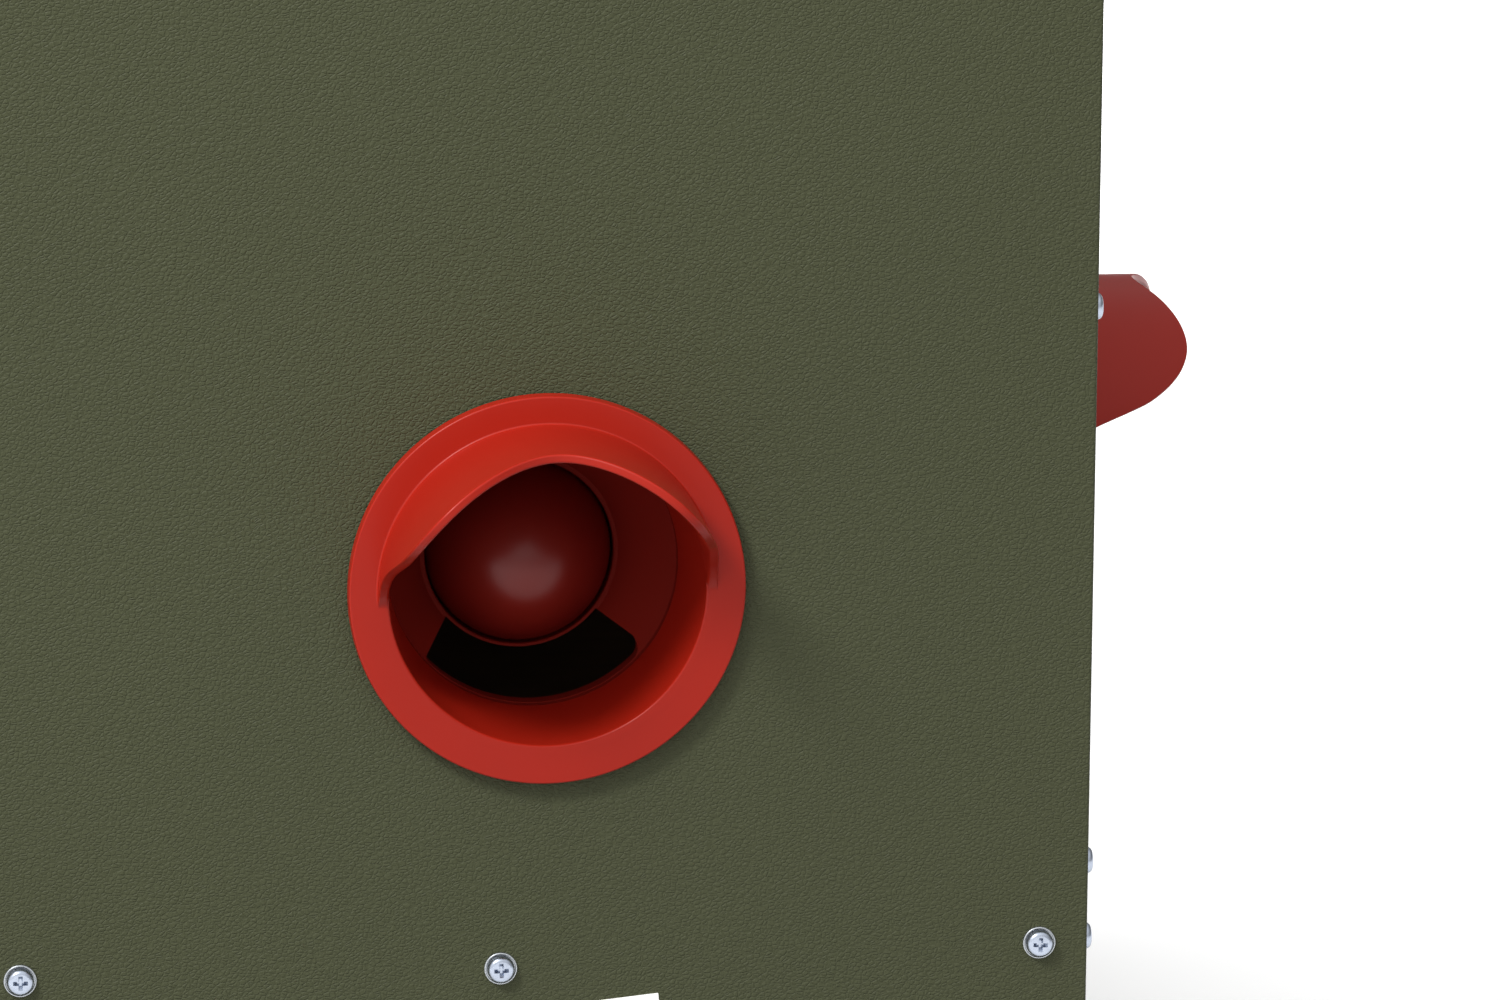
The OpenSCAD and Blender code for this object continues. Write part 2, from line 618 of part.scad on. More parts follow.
module bolt_rod() color([0.75, 0.76, 0.78]) {
    translate([rod_x, rod_y, rod_z]) rotate([0, 90, 0]) {
        cylinder(r = rod_r, h = rod_l - 1);
        translate([0, 0, rod_l - 1]) cylinder(r1 = rod_r, r2 = rod_r - 1, h = 1);
    }
    translate([knob_x, rod_y, rod_z]) rotate([90, 0, 0]) {
        cylinder(r = 3, h = 13);
        translate([0, 0, 14]) sphere(4.5);
    }
}
keeper_x = eye_x + tab_t / 2;
keeper_rows = [skirt_low + 8, skirt_low + 22];
module bolt_keeper() color([0.7, 0.71, 0.73]) difference() {
    union() {
        translate([keeper_x - 11, handle_y - plate_t, skirt_low + 1]) cube([22, plate_t, 28]);
        translate([eye_x, rod_y - rod_r - 4, rod_z - rod_r - 4])
            cube([tab_t, handle_y - rod_y + rod_r + 4, skirt_low + 4 - rod_z + rod_r + 4]);
    }
    translate([eye_x - 1, rod_y, rod_z]) rotate([0, 90, 0]) cylinder(r = rod_r + 2 * rod_gap, h = tab_t + 2);
    for (z = keeper_rows) translate([keeper_x, handle_y + 1, z]) rotate([90, 0, 0])
        cylinder(r = bolt_screw_r, h = plate_t + 2);
}
module bolt_screws() color([0.75, 0.76, 0.78]) {
    for (h = bolt_holes) translate([h[0], front_y, h[1]]) rotate([90, 0, 0]) small_screw(plate_t, sheet);
}
module keeper_screws() color([0.75, 0.76, 0.78]) {
    for (z = keeper_rows) translate([keeper_x, handle_y, z]) rotate([90, 0, 0]) small_screw(plate_t, lid_t);
}

front_panel();
back_panel();
left_panel();
right_panel();
floor_board();
post_front_left();
post_front_right();
post_back_left();
post_back_right();
top_rail_front();
top_rail_back();
side_rail_left();
side_rail_right();
feed_ramp();
ramp_supports();
feet();
hood(front_left);  // front_left_hood
bowl(front_left);  // front_left_bowl
lock_ring(front_left);  // front_left_lock_ring
gasket(front_left);  // front_left_gasket
hood(front_right);  // front_right_hood
bowl(front_right);  // front_right_bowl
lock_ring(front_right);  // front_right_lock_ring
gasket(front_right);  // front_right_gasket
hood(left_side);  // left_side_hood
bowl(left_side);  // left_side_bowl
lock_ring(left_side);  // left_side_lock_ring
gasket(left_side);  // left_side_gasket
hood(right_side);  // right_side_hood
bowl(right_side);  // right_side_bowl
lock_ring(right_side);  // right_side_lock_ring
gasket(right_side);  // right_side_gasket
front_screws();
front_washers();
back_screws();
back_washers();
left_screws();
left_washers();
right_screws();
right_washers();
blank_label();
lid();
lid_seal();
lid_handle();
handle_screws();
hinge_blocks();
body_leaf_left();
lid_leaf_left();
hinge_pin_left();
body_leaf_right();
lid_leaf_right();
hinge_pin_right();
hinge_screws_body();
hinge_screws_lid();
bolt_guide();
bolt_rod();
bolt_keeper();
bolt_screws();
keeper_screws();
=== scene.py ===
import json
import math

import bmesh
import bpy
from mathutils import Matrix, Vector


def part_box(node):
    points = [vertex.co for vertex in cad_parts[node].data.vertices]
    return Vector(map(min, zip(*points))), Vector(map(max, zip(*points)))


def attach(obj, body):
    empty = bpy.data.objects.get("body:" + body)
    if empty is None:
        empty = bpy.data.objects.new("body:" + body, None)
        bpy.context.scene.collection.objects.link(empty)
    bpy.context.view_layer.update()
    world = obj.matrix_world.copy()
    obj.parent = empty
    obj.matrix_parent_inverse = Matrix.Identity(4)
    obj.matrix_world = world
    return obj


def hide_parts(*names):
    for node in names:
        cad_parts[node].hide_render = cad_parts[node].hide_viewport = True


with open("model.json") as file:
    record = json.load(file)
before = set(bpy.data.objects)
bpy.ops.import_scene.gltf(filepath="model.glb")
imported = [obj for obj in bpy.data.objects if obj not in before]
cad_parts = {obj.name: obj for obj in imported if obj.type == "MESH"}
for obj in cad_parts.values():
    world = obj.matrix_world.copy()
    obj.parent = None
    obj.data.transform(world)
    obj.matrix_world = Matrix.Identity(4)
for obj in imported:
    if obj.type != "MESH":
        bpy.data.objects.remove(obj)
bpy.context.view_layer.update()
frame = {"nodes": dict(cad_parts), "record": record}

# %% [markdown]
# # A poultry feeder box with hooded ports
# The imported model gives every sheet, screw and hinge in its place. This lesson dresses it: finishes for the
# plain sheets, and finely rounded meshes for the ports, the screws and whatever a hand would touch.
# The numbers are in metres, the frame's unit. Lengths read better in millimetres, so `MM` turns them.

MM = 0.001
nodes = frame["nodes"]
body_of_node = {n: body for body, members in frame["record"]["behaviour"]["bodies"].items() for n in members}
slot_of_node = {row["node"]: row["material_slot"] for row in frame["record"]["subparts"]}


def middle(node):
    low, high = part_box(node)
    return (low + high) / 2


front_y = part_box("front_panel")[0].y
print("box front at", round(front_y, 4), "nodes", len(nodes))

# %% [markdown]
# ## The camera
# The view is from the front left and a little above, and it takes in the lower right part of the box.
# A long lens keeps the sheets' edges nearly parallel. The camera is turned by a yaw, a pitch and a small
# roll. Most of the sideways framing comes from that turn, and a small shift does the rest.

# %% Camera
CAMERA_PLACE = Vector((-117.8, -2600, 810.3)) * MM
CAMERA_YAW, CAMERA_PITCH, CAMERA_ROLL = math.radians(6.097), math.radians(12.835), math.radians(0.227)
LENS_PER_WIDTH = 8986 / 1500

camera_data = bpy.data.cameras.new("camera")
camera_data.sensor_width = 36
camera_data.lens = LENS_PER_WIDTH * camera_data.sensor_width
camera_data.shift_x = 0.15
camera_data.shift_y = -0.06
camera_data.clip_start, camera_data.clip_end = 0.05, 50
camera = bpy.data.objects.new("camera", camera_data)
bpy.context.scene.collection.objects.link(camera)
turn = Matrix.Rotation(-CAMERA_YAW, 4, "Z") @ Matrix.Rotation(math.pi / 2 - CAMERA_PITCH, 4, "X")
camera.matrix_world = Matrix.Translation(CAMERA_PLACE) @ turn @ Matrix.Rotation(CAMERA_ROLL, 4, "Z")
bpy.context.scene.camera = camera
print("lens", round(camera_data.lens, 1), "mm")

# %% [markdown]
# ## Light and floor
# The world is a grey room that brightens towards one side: up, and to the front left. A plain white one would
# lift every shadow and wash out the red. A soft lamp on that same side gives the hood its bright crown, and a
# second one lights the back. The second isn't mirrored, because its reflection would burn out the side hoods.
# The floor is pale and plain, and it throws no light back onto the sheets.

# %% World, lamps and floor
SKY = {0.0: 0.1, 0.46: 0.3, 0.54: 0.6, 1.0: 1.68}  # brightness from the darkest way to the brightest
BRIGHTEST_WAY = Vector((-0.42, -0.38, 0.82)).normalized()
scene = bpy.context.scene
scene.view_settings.view_transform = "Standard"
world = bpy.data.worlds.new("studio")
scene.world = world
world.use_nodes = True
tree = world.node_tree
ways = tree.nodes.new("ShaderNodeTexCoord")
facing = tree.nodes.new("ShaderNodeVectorMath")
facing.operation = "DOT_PRODUCT"
facing.inputs[1].default_value = BRIGHTEST_WAY
sky = tree.nodes.new("ShaderNodeValToRGB")
stops = sky.color_ramp.elements
for position in list(SKY)[1:-1]:
    stops.new(position)
for stop, strength in zip(stops, SKY.values()):
    stop.color = (strength, strength, strength, 1)
lift = tree.nodes.new("ShaderNodeMapRange")
lift.inputs["From Min"].default_value = -1
tree.links.new(ways.outputs["Generated"], facing.inputs[0])
tree.links.new(facing.outputs["Value"], lift.inputs["Value"])
tree.links.new(lift.outputs["Result"], sky.inputs["Fac"])
tree.links.new(sky.outputs["Color"], tree.nodes["Background"].inputs["Color"])


def soft_lamp(name, place, aim, size, power, mirrored=True):
    data = bpy.data.lights.new(name, "AREA")
    data.shape, data.size, data.energy = "DISK", size, power
    lamp = bpy.data.objects.new(name, data)
    lamp.location = place
    lamp.rotation_mode = "QUATERNION"
    lamp.rotation_quaternion = (aim - place).to_track_quat("-Z", "Y")
    lamp.visible_glossy = mirrored
    scene.collection.objects.link(lamp)


soft_lamp("key_lamp", Vector((-0.85, -1.15, 1.6)), middle("front_right_gasket"), 0.5, 34)
soft_lamp("back_fill_lamp", Vector((0.5, 2.6, 0.5)), middle("back_panel"), 0.8, 44, mirrored=False)

FLOOR_HALF = 30
floor_corners = [(x * FLOOR_HALF, y * FLOOR_HALF, 0) for x, y in ((-1, -1), (1, -1), (1, 1), (-1, 1))]
floor_mesh = bpy.data.meshes.new("floor")
floor_mesh.from_pydata(floor_corners, [], [(0, 1, 2, 3)])
floor = bpy.data.objects.new("floor", floor_mesh)
scene.collection.objects.link(floor)
floor.visible_diffuse = False

# %% [markdown]
# ## Writing shader maths as Python
# A finish is a small graph of nodes. Building it link by link hides the idea, so a `Wire` wraps one output
# socket and lets `+`, `-` and `*` add Math nodes. `Finish.node` makes any other node: its settings are set
# first, because they can change which sockets it has, and then its sockets get values or wires.

# %% Wire and Finish
class Wire:
    def __init__(self, finish, socket):
        self.finish, self.socket = finish, socket

    def _maths(self, operation, first, second):
        return self.finish.node("ShaderNodeMath", {"operation": operation}, {0: first, 1: second})

    def __add__(self, other):
        return self._maths("ADD", self, other)

    def __radd__(self, other):
        return self._maths("ADD", other, self)

    def __sub__(self, other):
        return self._maths("SUBTRACT", self, other)

    def __rsub__(self, other):
        return self._maths("SUBTRACT", other, self)

    def __mul__(self, other):
        return self._maths("MULTIPLY", self, other)

    def __rmul__(self, other):
        return self._maths("MULTIPLY", other, self)


class Finish:
    """One material and the nodes that make it."""

    def __init__(self, name, **shader):
        self.material = bpy.data.materials.new(name)
        self.material.use_nodes = True
        self.tree = self.material.node_tree
        self.shader = self.tree.nodes["Principled BSDF"]
        for socket, value in shader.items():
            self.shader.inputs[socket.replace("_", " ")].default_value = value
        self.place = self.node("ShaderNodeTexCoord", {}, {}, "Object")

    def node(self, kind, settings, sockets, output=0):
        made = self.tree.nodes.new(kind)
        for key, value in settings.items():
            setattr(made, key, value)
        for key, value in sockets.items():
            if isinstance(value, Wire):
                self.tree.links.new(value.socket, made.inputs[key])
            else:
                made.inputs[key].default_value = value
        return Wire(self, made.outputs[output])

    def noise(self, scale, detail=2.0, roughness=0.5, place=None):
        return self.node("ShaderNodeTexNoise", {}, {"Vector": place or self.place, "Scale": scale,
                                                    "Detail": detail, "Roughness": roughness}, "Fac")

    def stretched(self, x, y, z):
        return self.node("ShaderNodeVectorMath", {"operation": "MULTIPLY"}, {0: self.place, 1: (x, y, z)})

    def wandering(self, scale, reach):
        """The object's coordinates, pushed about by a noise so that a pattern loses its regular look."""
        sockets = {"Vector": self.place, "Scale": scale, "Detail": 1.0}
        push = self.node("ShaderNodeTexNoise", {}, sockets, "Color")
        push = self.node("ShaderNodeVectorMath", {"operation": "SCALE"}, {0: push, "Scale": reach})
        return self.node("ShaderNodeVectorMath", {"operation": "ADD"}, {0: self.place, 1: push})

    def cells(self, scale, feature, place):
        sockets = {"Vector": place, "Scale": scale}
        return self.node("ShaderNodeTexVoronoi", {"feature": feature}, sockets, "Distance")

    def mix(self, share, first, second):
        return self.node("ShaderNodeMix", {"data_type": "RGBA"}, {0: share, 6: first, 7: second}, 2)

    def fade(self, value, low, high):
        sockets = {"Value": value, "From Min": low, "From Max": high}
        return self.node("ShaderNodeMapRange", {}, sockets, "Result")

    def feed(self, socket, wire):
        self.tree.links.new(wire.socket, self.shader.inputs[socket])

    def bump(self, height, distance, strength=1.0):
        self.feed("Normal", self.node("ShaderNodeBump", {}, {"Height": height, "Distance": distance,
                                                             "Strength": strength}, "Normal"))


def tone(red, green, blue):
    """A colour given as it looks on a screen, 0 to 255, turned into the light that shaders work with."""
    def light(channel):
        c = channel / 255
        return c / 12.92 if c <= 0.04045 else ((c + 0.055) / 1.055) ** 2.4
    return (light(red), light(green), light(blue), 1.0)


print("mid grey is", round(tone(128, 128, 128)[0], 3), "in light")

# %% [markdown]
# ## The olive sheets: pressed leather grain
# Such sheets leave the rolls with a fine grain, like leather: pebbles of a millimetre or two with shallow
# creases between them. An image of leather could be wrapped on, but cells made by rule never repeat and
# need no unwrapping. The distance to the edge of a Voronoi cell gives the creases, a noise pushes the cells
# out of true, and a second, finer noise breaks the pebbles' tops. All of it is a fraction of a millimetre
# high, so it is bump and not geometry.

# %% Olive sheet finish
CREASES_PER_M, PEBBLES_PER_M, TOPS_PER_M, CLOUDS_PER_M = 760, 980, 2200, 9
GRAIN_DEPTH = 0.36 * MM
OLIVE_DARK, OLIVE_LIGHT = tone(62, 65, 45), tone(68, 71, 50)


def olive_sheet_finish():
    f = Finish("olive_sheet", Roughness=0.5, Specular_IOR_Level=0.15)
    askew = {"Vector": f.wandering(420, 0.7 * MM), "Rotation": (0.4, 0.5, 0.3), "Scale": (0.8, 1.0, 1.15)}
    crossing = f.node("ShaderNodeMapping", {}, askew)
    pebbles = f.cells(PEBBLES_PER_M, "SMOOTH_F1", crossing)
    creases = f.cells(CREASES_PER_M, "DISTANCE_TO_EDGE", crossing)
    tops = f.noise(TOPS_PER_M, 2.0, 0.6)
    clouds = f.noise(CLOUDS_PER_M, 3.0, 0.55)
    height = f.fade(creases, 0.0, 0.22) * 0.6 + (1 - pebbles) * 0.5 + tops * 0.35
    f.feed("Base Color", f.mix(clouds * 0.7 + tops * 0.3, OLIVE_DARK, OLIVE_LIGHT))
    f.feed("Roughness", 0.44 + 0.12 * tops + 0.06 * clouds)
    f.bump(height, GRAIN_DEPTH, 0.8)
    return f.material


finishes = {"olive_sheet": olive_sheet_finish()}
print("grain of", round(1000 / CREASES_PER_M, 1), "mm")

# %% [markdown]
# ## Red moulded plastic
# The ports are moulded in one colour, with a fine satin skin from the mould. One function makes all the reds.
# The bowl behind the wall is the same plastic with a darker mix, which is painted shade for its deep
# recess. Its skin is duller, and its dome gets a coat of gloss, because beaks polish it. The coat fades out
# with the distance from the dome's axis.

# %% Red finishes
DOME_R, DOME_SHIFT, POLISHED_R = 27 * MM, 3.1 * MM, 14 * MM


def red_finish(name, light, deep, rough, gloss, polish=None):
    f = Finish(name, Roughness=rough, Specular_IOR_Level=gloss)
    cloud = f.noise(38, 2.0, 0.5)
    skin = f.noise(2400, 1.0, 0.5)
    f.feed("Base Color", f.mix(cloud, deep, light))
    f.feed("Roughness", rough - 0.03 + 0.06 * skin + 0.04 * cloud)
    f.bump(skin + 3 * f.noise(120, 1.0, 0.5), 0.02 * MM, 0.4)
    if polish:
        polish(f)
    return f.material


def dome_polish(f):
    """A coat that is strongest at the dome's tip and gone at its foot."""
    axis = (-DOME_SHIFT, 0, 0)
    from_axis = f.node("ShaderNodeVectorMath", {"operation": "SUBTRACT"}, {0: f.place, 1: axis})
    flat = f.node("ShaderNodeVectorMath", {"operation": "MULTIPLY"}, {0: from_axis, 1: (1, 1, 0)})
    radius = f.node("ShaderNodeVectorMath", {"operation": "LENGTH"}, {0: flat}, "Value")
    f.shader.inputs["Coat Roughness"].default_value = 0.33
    f.feed("Coat Weight", f.fade(radius, DOME_R, POLISHED_R) * 0.55)


finishes["red_hood"] = red_finish("red_hood", tone(157, 31, 17), tone(150, 28, 14), 0.3, 0.17)
# The bowl's tones are darker than the hood's: painted shade for its deep recess.
finishes["red_bowl"] = red_finish("red_bowl", tone(118, 29, 21), tone(110, 25, 18), 0.42, 0.03, dome_polish)
finishes["red_ring"] = red_finish("red_ring", tone(150, 28, 18), tone(140, 24, 14), 0.45, 0.3)
print("reds", [name for name in finishes if name.startswith("red")])

# %% [markdown]
# ## Zinc
# Zinc plate on small screws is bright and slightly blue, with a faint passivated cloudiness. Pressed plates
# are duller and show rolling marks along one way, so their noise is stretched.

# %% Zinc finishes
FINE_LINES_PER_M, LONG_LINES_PER_M = 2400, 60
CLOUD_DROP = 22


def zinc_finish(name, colour, rough, lines):
    f = Finish(name, Metallic=1.0)
    cloud = f.noise(700, 3.0, 0.6)
    rolled = f.noise(1.0, 2.0, 0.6, f.stretched(lines, FINE_LINES_PER_M, FINE_LINES_PER_M))
    f.feed("Base Color", f.mix(cloud, tone(*[c - CLOUD_DROP for c in colour]), tone(*colour)))
    f.feed("Roughness", rough + 0.1 * cloud + 0.08 * rolled)
    f.bump(rolled, 0.01 * MM, 0.3)
    return f.material


finishes["zinc_screw"] = zinc_finish("zinc_screw", (176, 184, 198), 0.2, FINE_LINES_PER_M)
finishes["zinc_plate"] = zinc_finish("zinc_plate", (180, 184, 188), 0.3, LONG_LINES_PER_M)
print("zinc", [name for name in finishes if name.startswith("zinc")])

# %% [markdown]
# ## Posts, rubber, board, label and handle
# These are the quiet finishes. Each still has its own skin: the posts a moulded flow, the rubber a soft
# bloom, the board a drawn-out grain, the label a film over paper, and the handle a fine powder coat. They
# differ only in numbers, so one function and a table of them do for all five.

# %% Other finishes
def plain_finish(name, first, second, rough, grain, depth, stretch=(1, 1, 1)):
    f = Finish(name, Roughness=rough)
    place = f.stretched(*stretch)
    fine = f.noise(grain, 3.0, 0.6, place)
    broad = f.noise(grain / 20, 2.0, 0.5, place)
    f.feed("Base Color", f.mix(fine * 0.5 + broad * 0.5, tone(*first), tone(*second)))
    f.feed("Roughness", rough - 0.05 + 0.1 * fine)
    f.bump(fine, depth, 0.5)
    return f.material


ALONG_THE_BOARD = (0.06, 1, 1)
PLAIN = {"post_plastic": ((46, 47, 38), (58, 59, 48), 0.6, 900, 0.05 * MM),
         "rubber": ((20, 20, 20), (32, 32, 31), 0.75, 1200, 0.04 * MM),
         "ramp_board": ((74, 50, 32), (112, 80, 52), 0.55, 420, 0.08 * MM, ALONG_THE_BOARD),
         "white_label": ((236, 236, 232), (246, 246, 243), 0.4, 1500, 0.01 * MM),
         "black_handle": ((18, 18, 19), (30, 30, 31), 0.5, 2600, 0.06 * MM)}
for name, numbers in PLAIN.items():
    finishes[name] = plain_finish(name, *numbers)
print("plain finishes", len(PLAIN))

# %% [markdown]
# ## The floor's finish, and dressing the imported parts
# The floor glows a little by itself, so that it stays white where the lamps don't reach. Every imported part
# then gets the finish of its own material slot. A part that is replaced later keeps it without being seen.

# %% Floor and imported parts
def floor_finish():
    f = Finish("floor", Roughness=0.9, Specular_IOR_Level=0.1, Emission_Strength=0.22,
               Emission_Color=(1, 1, 1, 1))
    f.feed("Base Color", f.mix(f.noise(2.5, 2.0), tone(243, 243, 243), tone(247, 247, 247)))
    return f.material


floor.data.materials.append(floor_finish())

for name, cad in nodes.items():
    cad.data.materials.clear()
    cad.data.materials.append(finishes[slot_of_node[name]])
print("dressed", len(nodes), "nodes")

# %% [markdown]
# ## Lathes that can change as they turn
# Hoods, bowls, screws and washers are all drawn as a section swept round an axis. Blender's Screw modifier
# sweeps one fixed section, but a hood's section changes with the angle. So `lathe` asks a function for the
# section at each angle. Points that fall together, such as where the hood has shrunk to nothing, are merged
# afterwards, and the mesh is left closed.

# %% Lathe
SAME_POINT, NO_LENGTH = 2e-6, 1e-6


def new_piece(name, bm, material, smooth_angle=40):
    mesh = bpy.data.meshes.new(name)
    bmesh.ops.remove_doubles(bm, verts=bm.verts, dist=SAME_POINT)
    bmesh.ops.dissolve_degenerate(bm, edges=bm.edges, dist=NO_LENGTH)
    bmesh.ops.recalc_face_normals(bm, faces=bm.faces)
    bm.to_mesh(mesh)
    bm.free()
    mesh.materials.append(material)
    mesh.shade_smooth()
    mesh.set_sharp_from_angle(angle=math.radians(smooth_angle))
    piece = bpy.data.objects.new(name, mesh)
    scene.collection.objects.link(piece)
    return piece


def lathe(section, columns, closed=True):
    """section(angle) gives points (x, y, z) round the section; columns is how many angles make a turn."""
    bm = bmesh.new()
    rows = [[bm.verts.new(p) for p in section(2 * math.pi * i / columns)] for i in range(columns)]
    count = len(rows[0])
    for i in range(columns):
        here, there = rows[i], rows[(i + 1) % columns]
        for j in range(count if closed else count - 1):
            k = (j + 1) % count
            bm.faces.new((here[j], there[j], there[k], here[k]))
    return bm


def turned(profile):
    """A section function for a plain turned part: the profile is a list of (radius, z)."""
    return lambda a: [(r * math.cos(a), r * math.sin(a), z) for r, z in profile]


def arc(centre_r, centre_z, radius, start, stop, steps):
    """Points round a fillet in a section, from angle start to stop in degrees."""
    angles = [math.radians(start + (stop - start) * i / steps) for i in range(steps + 1)]
    return [(centre_r + radius * math.cos(a), centre_z + radius * math.sin(a)) for a in angles]


print("a quarter arc of radius 1:", [round(v, 2) for v in arc(0, 0, 1, 0, 90, 2)[1]], "at its middle")

# %% [markdown]
# ## The port's hood and flange
# The real piece is one moulding: a flange on the wall, a spigot through it, and a half-round hood. The
# hood's lip runs low at its ends, swells to a nose at each side and draws back over the crown. Seen from the
# side, the lip is three cubic curves end to end. They give the hood's reach at each height, and so the
# section at each angle. Every edge gets a true radius, because a moulded edge catches a line of light.

# %% Port sizes
GASKET, FLANGE = 1.0 * MM, 3.5 * MM
FACE = GASKET + FLANGE
FLANGE_R, THROAT_R, HOOD_R = 56.3 * MM, 44.8 * MM, 48 * MM
SPIGOT_R, SPIGOT_L = 47.5 * MM, 28 * MM
BOWL_R, BOWL_SHIFT = 41.6 * MM, 0.8 * MM
HOOD_REACH, CROWN_REACH = 47.5 * MM, 35 * MM
ROOT_WALL, LIP_WALL = 2.9 * MM, 2.5 * MM
EDGE = 0.8 * MM


def cubic(a, b, c, d, steps=24):
    """Points on a cubic curve from a to d, pulled towards b and then c."""
    out = []
    for i in range(steps + 1):
        t = i / steps
        u = 1 - t
        shares = (u**3, 3 * u * u * t, 3 * u * t * t, t**3)
        out.append(tuple(sum(share * p[k] for share, p in zip(shares, (a, b, c, d))) for k in (0, 1)))
    return out


nose = HOOD_REACH / MM
crown = CROWN_REACH / MM
lip_curve = (cubic((0, -2), (7, 10), (20, 12.5), (nose * 0.72, 19))
             + cubic((nose * 0.72, 19), (nose * 0.86, 22.8), (nose * 0.985, 28), (nose, 34))[1:]
             + cubic((nose, 34), (nose * 1.01, 40), (crown + 8, 46.5), (crown, 48.5))[1:])


def lip_reach(angle):
    """How far the hood stands out of the flange at an angle, 0 where there is no hood."""
    height = HOOD_R / MM * math.sin(angle)
    if height <= lip_curve[0][1]:
        return 0.0
    for (p0, b0), (p1, b1) in zip(lip_curve, lip_curve[1:]):
        if height <= b1:
            return (p0 + (p1 - p0) * (height - b0) / (b1 - b0)) * MM
    return CROWN_REACH


print("reach at the crown", round(lip_reach(math.pi / 2) / MM, 1), "mm, at 45 degrees",
      round(lip_reach(math.pi / 4) / MM, 1), "mm")

# %% [markdown]
# ## One section of the hood
# The section runs up the spigot's outside, round the flange, up the hood, over its lip and down inside it to
# the throat, and then along the cone to the spigot's end. `standing` is 0 where there is no hood and 1 where
# it stands, so the foot and lip radii grow with it while the throat's own edge radius goes away.

# %% Hood section
FILLET, FLANGE_EDGE = 0.7 * MM, 0.6 * MM


def hood_section(angle):
    reach = lip_reach(angle)
    standing = min(1.0, reach / (2 * EDGE))
    wall = ROOT_WALL + (LIP_WALL - ROOT_WALL) * reach / HOOD_REACH
    wall = min(wall, HOOD_R - THROAT_R - EDGE * (1 - standing))
    foot = FILLET * standing
    lip = min(FILLET, wall * 0.42) * standing
    top = FACE + reach
    profile = [(SPIGOT_R, -SPIGOT_L), (SPIGOT_R, GASKET), (FLANGE_R, GASKET)]
    profile += arc(FLANGE_R - 0.8 * MM, FACE - FLANGE_EDGE, FLANGE_EDGE, 5, 90, 6)
    profile += [(HOOD_R + 4 * MM, FACE)]
    profile += arc(HOOD_R + foot, FACE + foot, foot, 270, 180, 4)
    outer_low, outer_high = FACE + foot, top - lip
    profile += [(HOOD_R, outer_low + (outer_high - outer_low) * k / 6) for k in range(1, 6)]
    profile += arc(HOOD_R - lip, top - lip, lip, 0, 90, 4)
    profile += arc(HOOD_R - wall + lip, top - lip, lip, 90, 180, 4)
    edge = EDGE * (1 - standing)
    inner_r, inner_z = HOOD_R - wall, top - lip
    profile += [(inner_r + (THROAT_R + edge - inner_r) * k / 6, inner_z + (FACE - inner_z) * k / 6)
                for k in range(1, 6)]
    profile += arc(THROAT_R + edge, FACE - edge, edge, 90, 180, 4)
    points = [(r * math.cos(angle), r * math.sin(angle), z) for r, z in profile]
    cone_start = FACE - EDGE
    for k in range(9):
        share = k / 8
        z = cone_start + (-SPIGOT_L - cone_start) * share
        r = THROAT_R + (BOWL_R - THROAT_R) * share
        points.append((r * math.cos(angle) - BOWL_SHIFT * share, r * math.sin(angle), z))
    return points


print("points in a section", len(hood_section(math.pi / 2)))

# %% [markdown]
# ## The bowl: dome and ring
# Behind the throat a shallow cone closes in on a ring, and a dome rises from the ring's floor. The dome
# stands a little to one side of the port's axis, so each point of the section is moved sideways by a share
# of that shift: none at the rim, where the bowl meets the throat, and all of it at the ring and the dome.

# %% Bowl section
DOME_H, DOME_DEPTH = 36 * MM, 25.5 * MM
RING_WALL, RING_DEPTH, BOWL_WALL = 1.3 * MM, 16 * MM, 2.5 * MM
RING_R = DOME_R + RING_WALL
FOOT_Z, RING_Z, CONE_Z = -SPIGOT_L - DOME_DEPTH, -SPIGOT_L - RING_DEPTH, -SPIGOT_L - BOWL_WALL


def dome_line(wall, steps):
    """Points (radius, z) on the egg-shaped dome from its foot to its tip, or inside it for a wall."""
    radius, height = DOME_R - wall, DOME_H - wall
    angles = [math.pi / 2 * i / steps for i in range(steps)]
    return [(radius * math.cos(a), height * math.sin(a) + FOOT_Z) for a in angles] + [(0.0, height + FOOT_Z)]


def bowl_profile():
    rim = [(BOWL_R, -SPIGOT_L), (BOWL_R - 0.2 * MM, CONE_Z + 0.4 * MM),
           (BOWL_R - 0.8 * MM, CONE_Z - 0.2 * MM)]
    ring = [(RING_R + 0.3 * MM, RING_Z + 0.05 * MM), (RING_R, RING_Z), (DOME_R + 0.4 * MM, RING_Z),
            (DOME_R + 0.15 * MM, RING_Z - 0.3 * MM), (DOME_R + 0.1 * MM, FOOT_Z + 0.5 * MM)]
    dome = dome_line(0, 32) + dome_line(BOWL_WALL, 16)[::-1]
    outer = BOWL_R + BOWL_WALL
    back = [(DOME_R - BOWL_WALL, FOOT_Z - BOWL_WALL), (RING_R, FOOT_Z - BOWL_WALL),
            (RING_R, RING_Z - BOWL_WALL), (outer, CONE_Z - BOWL_WALL), (outer, -SPIGOT_L)]
    return rim + ring + dome + back


def off_centre(x, y, share):
    """The bowl's rim is centred on the throat's end, and its dome DOME_SHIFT off the port's axis."""
    return x - BOWL_SHIFT - (DOME_SHIFT - BOWL_SHIFT) * share, y


def bowl_section(angle):
    points = []
    for r, z in bowl_profile():
        share = min(1.0, max(0.0, (BOWL_R - r) / (BOWL_R - RING_R)))
        points.append((*off_centre(r * math.cos(angle), r * math.sin(angle), share), z))
    return points


print("bowl depth behind the wall", round(-min(z for r, z in bowl_profile()) / MM, 1), "mm")

# %% [markdown]
# ## The feed slot
# Below the dome a slot of a hundred degrees opens to the feed. The bowl is turned whole first. Then the slot
# is cut out of it with a Boolean modifier, which is applied at once. The cutter is an arc-shaped block whose
# outer corners are rounded, one more than the other, as the real mould leaves them.

